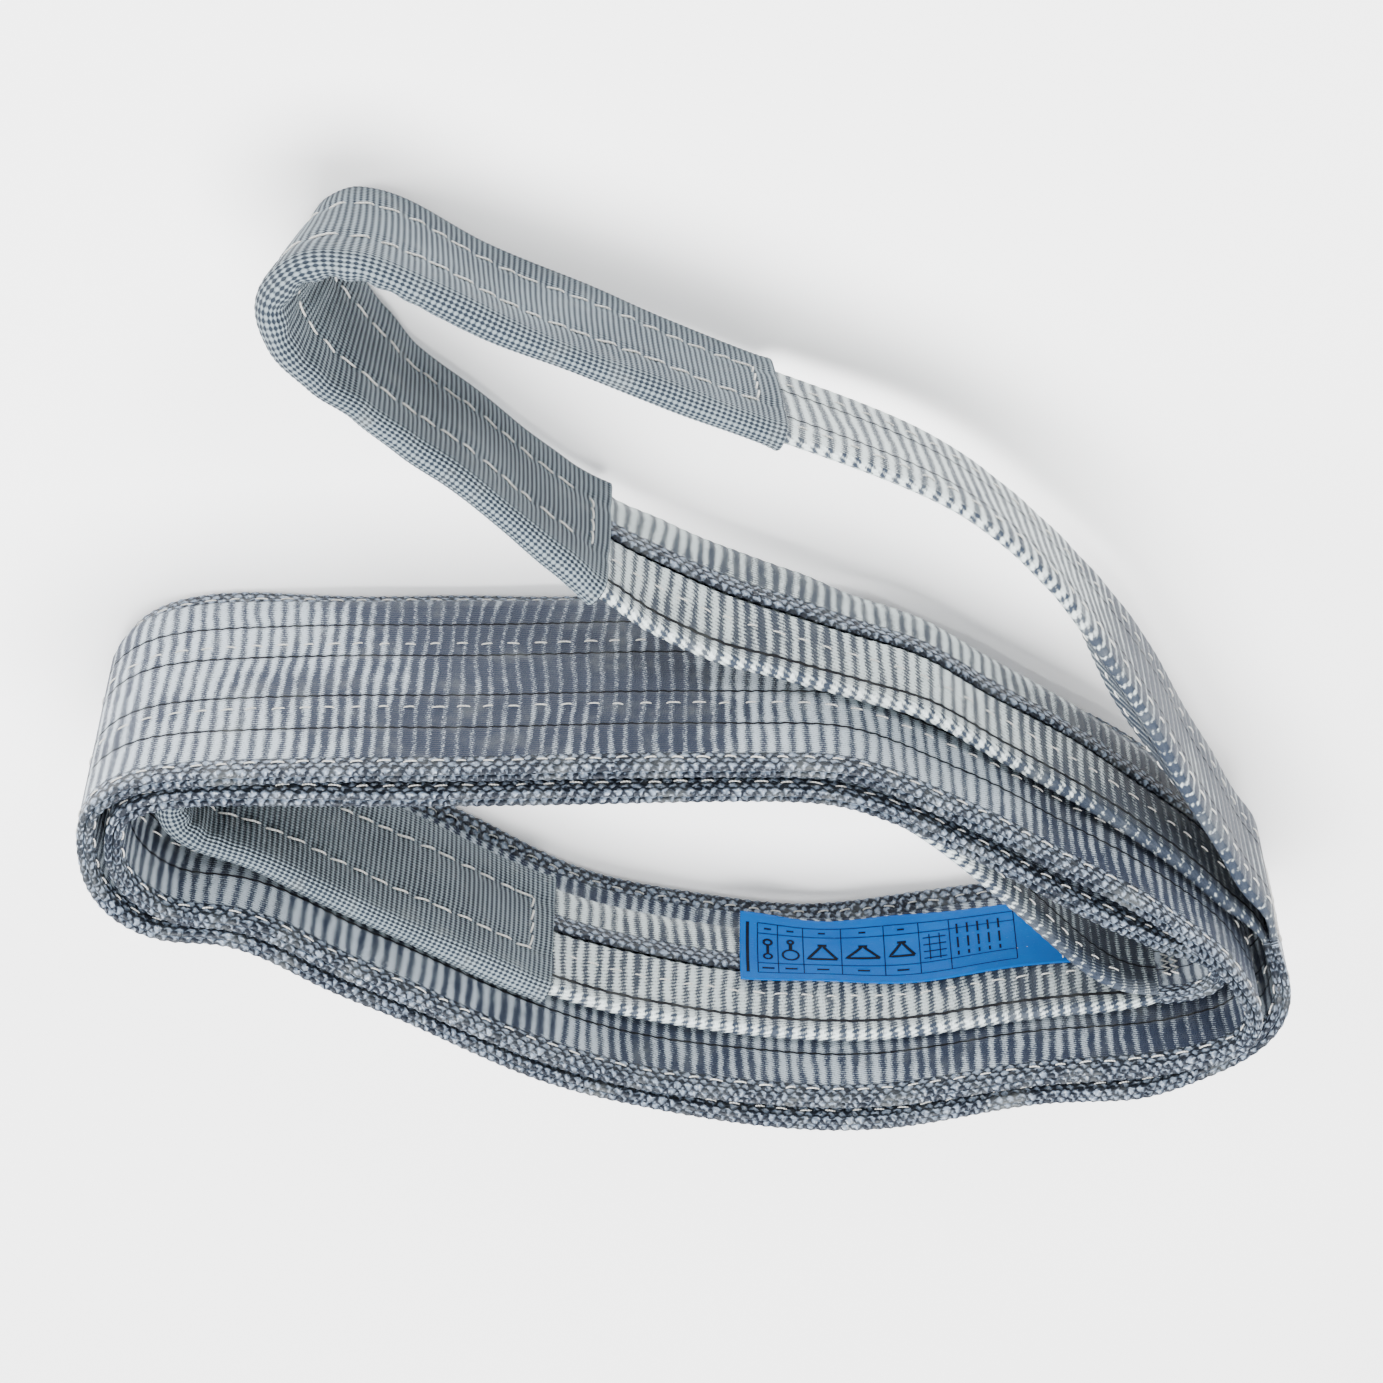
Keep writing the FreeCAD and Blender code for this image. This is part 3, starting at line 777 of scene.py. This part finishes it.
def sleeve(name, strap, middle, shift):
    aside, rise, place, out, up = sleeve_section()
    count = round(2 * SLEEVE_REACH / SLEEVE_STATION) + 1
    runs = np.linspace(middle - SLEEVE_REACH, middle + SLEEVE_REACH, count)
    run = runs[:, None]
    scallop = 0.12 * MM * np.cos(2 * math.pi * (run + shift) / (2.2 * MM))
    swell = sleeve_swell(run, rise[None], aside[None], middle, strap)
    from_end = np.minimum(run - runs[0], runs[-1] - run)
    hem = 0.5 * MM * np.exp(-((from_end / (4 * MM)) ** 2))
    stand = SLEEVE_THICK + (swell - 0.1 * MM + hem)
    offset = np.sign(aside) * np.where(np.abs(aside) > 0.99, stand, np.abs(aside) * stand)
    lifted = rise[None] + up[None] * (scallop + hem * 0.4) + 0 * run
    offset = offset + out[None] * scallop
    rings = strap.at(run + 0 * rise[None], offset, lifted)
    turned = []
    for end in (0, -1):
        lip = []
        for share, slip in ((0.92, -0.6), (0.80, 0.6), (0.66, 3.0)):
            lip.append(strap.at(
                np.full_like(rise, runs[end] + (slip if end == 0 else -slip) * MM),
                offset[end] * share, lifted[end] * (1 - (1 - share) * 0.10),
            ))
        turned.append(lip)
    rings = np.concatenate([np.array(turned[0][::-1]), rings, np.array(turned[1])])
    along = np.concatenate([
        [runs[0] - 3 * MM, runs[0] - 2 * MM, runs[0] - MM], runs,
        [runs[-1] + MM, runs[-1] + 2 * MM, runs[-1] + 3 * MM],
    ])
    sway = 0.7 * MM * np.sin(along / (37 * MM))[:, None] * np.cos(place / (14 * MM))[None]
    weave = np.stack([along[:, None] + shift + sway, place[None] + 0 * along[:, None]], -1)
    return skin(name, rings, weave, capped=False)


CHECK_ALONG = 2.2                    # pitch of the yarns that cross the sleeve, in mm
CHECK_ACROSS = 1.55                  # pitch of the yarns that run along it, in mm


def check_weave():
    """Fine check of light and dark yarn, dotted over the rounded edges of the sleeve."""
    look = Look("check_weave")
    along, across = look.along, look.across
    slow = patches(along, across, 0.03, 3)
    edge = across.math("ABSOLUTE").band(22, 33)
    dots = (across / CHECK_ACROSS).wave() * (edge * 0.25 + 0.75)
    yarn = (along / CHECK_ALONG).wave() + dots
    light = (yarn + slow * 1.1 - 0.5).band(-0.7, 1.15)
    colour = tint(light, look.dark, look.light)
    bloom = patches(along, across, 0.09, 5, 0.6).band(0.5, 0.85)
    colour = tint(bloom * 0.15, colour, (0.42, 0.43, 0.40))
    return look.done(colour, light * -0.12 + 0.68, yarn)


sleeve_grey = cloth_material(
    "sleeve_grey", check_weave(),
    {"Dark": (0.014, 0.021, 0.032), "Light": (0.215, 0.265, 0.295)}, 0.3 * MM, 0.03,
)
SLEEVE_STITCH = 9.6 * MM
for name, node, strap, along_eye, body_name, seed, sewing in (
    ("inner_sleeve", "inner_eye_sleeve", inner_eye, 453 * MM, "coil", 100, "inner_sleeve_sewing"),
    ("free_sleeve", "free_eye_sleeve", free_eye, 511 * MM, "free_eye", 110, "free_sleeve_sewing"),
):
    tube = sleeve(name, strap, along_eye, seed * 0.013)
    tube.data.materials.append(sleeve_grey)
    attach(tube, body_name)
    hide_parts(node)
    paths = []
    first, last = along_eye - SLEEVE_REACH, along_eye + SLEEVE_REACH
    for face in (-1, 1):
        def sleeve_face(run, row, lift, face=face, strap=strap, along_eye=along_eye):
            stand = SLEEVE_THICK + sleeve_swell(run, row, face, along_eye, strap)
            return strap.at(run, face * (stand + lift), row)
        for number, row in enumerate((-SLEEVE_ROW, SLEEVE_ROW)):
            paths += running_stitches(
                sleeve_face, row, first + 9 * MM, last - 9 * MM, seed + number + 2 * face,
                SLEEVE_STITCH, 7.6 * MM,
            )
        for end in (first + 9 * MM, last - 9 * MM):
            for low in np.arange(-SLEEVE_ROW, SLEEVE_ROW - 4 * MM, 8 * MM):
                lift = np.array([-0.5, 0.25, 0.5, 0.5, 0.25, -0.5]) * MM
                run = end + STITCH_SHAPE * MM
                paths.append(sleeve_face(run, low + STITCH_SHAPE * 6.4 * MM, lift))
    threads = thread_mesh(sewing, paths, 0.45 * MM)
    threads.data.materials.append(thread_cream)
    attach(threads, body_name)
    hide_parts(node.split("_")[0] + "_sleeve_stitching")

# ================================================================ throat tacks
# Where an eye leaves the body, a dense zigzag of the same thread closes the body over the folded
# strap. It shows on both faces as a few close bars.
ZIGZAG_TURNS = 25
ZIGZAG_WIDTH = 3.0                   # in mm


def throat_zigzag(name, node, middle):
    paths = []
    for surface in (outer_face, inner_face):
        for offset in (-1.8, 1.8):
            steps = np.arange(ZIGZAG_TURNS)
            reach = 22 * MM / body_half_height(np.array(middle)) * MIDDLE
            across = np.linspace(-reach, reach, ZIGZAG_TURNS)
            run = middle + (offset + ZIGZAG_WIDTH * (steps % 2 - 0.5)) * MM
            paths.append(surface(run, across, np.full(ZIGZAG_TURNS, 0.35 * MM)))
    piece = thread_mesh(name, paths, 0.45 * MM)
    piece.data.materials.append(thread_cream)
    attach(piece, "coil")
    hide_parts(node)


throat_zigzag("free_throat_zigzag", "free_throat_tacks", 6 * MM)
throat_zigzag("inner_throat_zigzag", "inner_throat_tacks", body.length - 6 * MM)

# ================================================================ label
# A coated blue label, 40 mm by 140 mm, sewn by one end to the inside of the inner eye. It is
# printed in black with a table of ways to hitch a load, drawn here as plain signs.
LABEL_LONG = 140 * MM
LABEL_HALF = 20 * MM
LABEL_THICK = 0.5 * MM
LABEL_DROP = -15 * MM
LABEL_START = 50 * MM                # distance along the inner eye's strap to the sewn end
LABEL_OFF = STRAP + 0.85 * MM


def label_curl(along, across):
    """How far the label stands off the strap: flat at its sewn end, wavy towards its free end."""
    loose = eased(along / LABEL_LONG * 1.3)
    edge = across / LABEL_HALF
    wave_one = 0.9 * np.sin(along / (15 * MM) + 0.5) * edge
    wave_two = 0.8 * np.sin(along / (9.5 * MM)) * np.maximum(-edge, 0) ** 2
    return (0.6 + 1.6 * edge**2 + wave_one + wave_two) * loose * MM


def on_label(along, across, lift):
    along, across, lift = np.broadcast_arrays(along, across, lift)
    sag = 1.2 * MM * np.sin(along / (21 * MM)) * eased(along / LABEL_LONG)
    return inner_eye.at(
        LABEL_START + along, -(LABEL_OFF + label_curl(along, across) + lift),
        LABEL_DROP + across * (1 - 0.02 * np.sin(along / (12 * MM))) + sag * 0.5,
    )


def label_sheet():
    alongs = np.linspace(0, LABEL_LONG, 129)
    acrosses = np.linspace(-LABEL_HALF, LABEL_HALF, 33)
    across = np.concatenate([acrosses, acrosses[::-1]])
    side = np.repeat([0.5, -0.5], len(acrosses))
    along, cross = np.meshgrid(alongs, across, indexing="ij")
    rings = on_label(along, cross, side[None] * LABEL_THICK)
    return skin("label_blue", rings, np.stack([along, cross], -1))


INK_SPREAD = 1.3                     # how much the ink runs into the cloth
PRINT_LONG = 128                     # the print is set out on a label this long, in mm


def label_ink_mesh(strokes):
    """Flat printed strokes laid on the label: each is (points in mm, width in mm)."""
    points, faces = [], []
    for line, width in strokes:
        line = np.array(line, float) * [LABEL_LONG / MM / PRINT_LONG, 1]
        steps = [line[0]]
        for one, other in zip(line, line[1:]):
            cuts = max(1, int(np.linalg.norm(other - one) // 1.5))
            steps += [one + (other - one) * (cut + 1) / cuts for cut in range(cuts)]
        steps = np.array(steps)
        ahead = np.gradient(steps, axis=0)
        ahead /= np.linalg.norm(ahead, axis=1)[:, None] + 1e-9
        side = np.stack([-ahead[:, 1], ahead[:, 0]], -1) * width * INK_SPREAD / 2
        base = len(points)
        for spot, aside in zip(steps, side):
            for edge in (-1, 1):
                along, across = (spot + aside * edge) * MM
                points.append(on_label(along, across, LABEL_THICK / 2 + 0.05 * MM))
        for step in range(len(steps) - 1):
            near = base + 2 * step
            faces.append((near, near + 2, near + 3, near + 1))
    points = np.array(points)
    return piece_of("label_print", points, faces, points[:, ::2], smooth=False)


def ring_of(middle, radius, count=14):
    return [
        (middle[0] + radius * math.cos(2 * math.pi * step / count),
         middle[1] + radius * math.sin(2 * math.pi * step / count))
        for step in range(count + 1)
    ]


label_cloth = label_sheet()
strokes = []
COLUMNS = (121, 113, 103, 88, 71, 57, 45, 20)
for column in COLUMNS:
    strokes.append(([(column, -15), (column, 15)], 0.35))
for level in (-15, -9.5, 8.5, 15):
    strokes.append(([(COLUMNS[-1], level), (COLUMNS[0], level)], 0.35))
strokes.append(([(125, -15), (125, 15)], 1.1))
strokes.append((ring_of((117, 4), 1.6), 0.8))
strokes.append(([(117, 2.6), (117, -3)], 1.0))
strokes.append((ring_of((117, -4.6), 1.6), 0.9))
strokes.append((ring_of((108, 2.5), 3.2), 0.8))
strokes.append(([(108, -0.8), (108, -5)], 1.2))
strokes.append((ring_of((108, -5.6), 1.1), 0.9))
for middle, half, low, high in ((95.5, 5.8, -4.5, 4.5), (79.5, 6.6, -4, 3.5), (64, 5, -5, 3)):
    hook = [(middle - half, high), (middle + half, high), (middle, low), (middle - half, high)]
    strokes.append((hook, 1.1))
    strokes.append(([(middle - 1.8, low), (middle + 1.8, low)], 1.1))
for column in (117, 108, 95.5, 79.5, 64):
    strokes.append(([(column - 2.4, 11.8), (column + 2.4, 11.8)], 0.9))
    strokes.append(([(column - 1.4, -12.2), (column + 1.4, -12.2)], 0.8))
for level in (-6, -2, 2, 6):
    strokes.append(([(46.5, level), (55.5, level)], 0.5))
strokes.append(([(49, -8), (49, 7)], 0.4))
strokes.append(([(53, -8), (53, 7)], 0.4))
for column in (42, 38, 34, 30, 26):
    for low, high in ((-12, -6), (-4, 2.5), (4.5, 7)):
        strokes.append(([(column, low), (column, high)], 0.7))
label_print = label_ink_mesh(strokes)


def coated_cloth():
    """Coated label stock: fine weave under the coat, scuffs and a slight fade."""
    look = Look("coated_cloth")
    along, across = look.along, look.across
    weave = (along * 1.6).wave() * (across * 1.6).wave()
    fade = patches(along, across, 0.05, 4)
    scuff = patches(along, across * 3, 0.5, 5).band(0.6, 0.8)
    colour = tint(fade, look.dark, look.light)
    colour = tint(scuff * 0.2, colour, (0.12, 0.30, 0.60))
    return look.done(colour, scuff * 0.2 + 0.34, weave * 0.25 + fade * 4)


label_stock = coated_cloth()
label_blue = cloth_material(
    "label_blue", label_stock, {"Dark": (0.0, 0.055, 0.26), "Light": (0.0, 0.11, 0.40)},
    0.15 * MM, 0.0, 0.03,
)
label_ink = cloth_material(
    "label_ink", label_stock, {"Dark": (0.002, 0.003, 0.006), "Light": (0.005, 0.008, 0.016)},
    0.02 * MM, 0.0, 0.02,
)
label_cloth.data.materials.append(label_blue)
label_print.data.materials.append(label_ink)
for piece in (label_cloth, label_print):
    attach(piece, "label")
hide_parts("label")
paths = []
for offset in (1.5, 3.5):
    for low in np.arange(-LABEL_HALF + MM, LABEL_HALF - 3 * MM, 4.2 * MM):
        shape = np.array([0, 0.15, 0.5, 0.85, 1])
        lift = np.array([-0.4, 0.3, 0.5, 0.3, -0.4]) * MM
        paths.append(on_label(np.full(5, offset * MM), low + shape * 3 * MM, lift))
label_sewing = thread_mesh("label_sewing", paths, 0.3 * MM)
label_sewing.data.materials.append(thread_cream)
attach(label_sewing, "coil")
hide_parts("label_stitching")

# ================================================================ set
# A plain pale floor, soft light from large panels, and one camera that looks down at the sling
# from the side of the free eye.
FLOOR_HALF = 6.0
floor_mesh = bpy.data.meshes.new("floor")
floor_mesh.from_pydata(
    [(-FLOOR_HALF, -FLOOR_HALF, 0), (FLOOR_HALF, -FLOOR_HALF, 0),
     (FLOOR_HALF, FLOOR_HALF, 0), (-FLOOR_HALF, FLOOR_HALF, 0)], [], [(0, 1, 2, 3)],
)
floor = bpy.data.objects.new("floor", floor_mesh)
bpy.context.collection.objects.link(floor)
floor_pale = bpy.data.materials.new("floor_pale")
floor_pale.use_nodes = True
floor_shader = floor_pale.node_tree.nodes["Principled BSDF"]
floor_shader.inputs["Base Color"].default_value = (0.92, 0.92, 0.92, 1)
floor_shader.inputs["Roughness"].default_value = 0.9
floor_shader.inputs["Emission Color"].default_value = (1, 1, 1, 1)
floor_shader.inputs["Emission Strength"].default_value = 0.35
floor_mesh.materials.append(floor_pale)


def soft_panel(name, place, target, size, power):
    lamp = bpy.data.lights.new(name, "AREA")
    lamp.shape = "RECTANGLE"
    lamp.size, lamp.size_y = size
    lamp.energy = power
    panel = bpy.data.objects.new(name, lamp)
    panel.location = place
    panel.rotation_euler = (Vector(target) - Vector(place)).to_track_quat("-Z", "Y").to_euler()
    bpy.context.collection.objects.link(panel)


soft_panel("left_panel", (-0.7, -1.35, 0.9), (0, 0, 0.05), (0.7, 0.7), 30)
soft_panel("right_panel", (1.5, -0.4, 0.8), (0, 0, 0.05), (0.7, 0.7), 40)
soft_panel("top_panel", (0.0, 0.25, 1.9), (0, 0, 0.0), (1.6, 1.0), 150)

world = bpy.data.worlds.new("studio")
world.use_nodes = True
world.node_tree.nodes["Background"].inputs[0].default_value = (0.97, 0.985, 1.0, 1)
world.node_tree.nodes["Background"].inputs[1].default_value = 0.42
bpy.context.scene.world = world

CAMERA_TILT = math.radians(52)
CAMERA_TARGET = Vector((0.0035, 0.011, 0.060))
CAMERA_DISTANCE = 1.368
lens = bpy.data.cameras.new("camera")
lens.sensor_width = 36
lens.lens = 91.1
camera = bpy.data.objects.new("camera", lens)
bpy.context.collection.objects.link(camera)
view = Vector((0, math.cos(CAMERA_TILT), -math.sin(CAMERA_TILT)))
upright = Vector((0, -math.sin(CAMERA_TILT), -math.cos(CAMERA_TILT)))
axes = Matrix((Vector((-1, 0, 0)), upright, -view)).transposed().to_4x4()
camera.matrix_world = Matrix.Translation(CAMERA_TARGET - view * CAMERA_DISTANCE) @ axes
bpy.context.scene.camera = camera

bpy.context.view_layer.update()
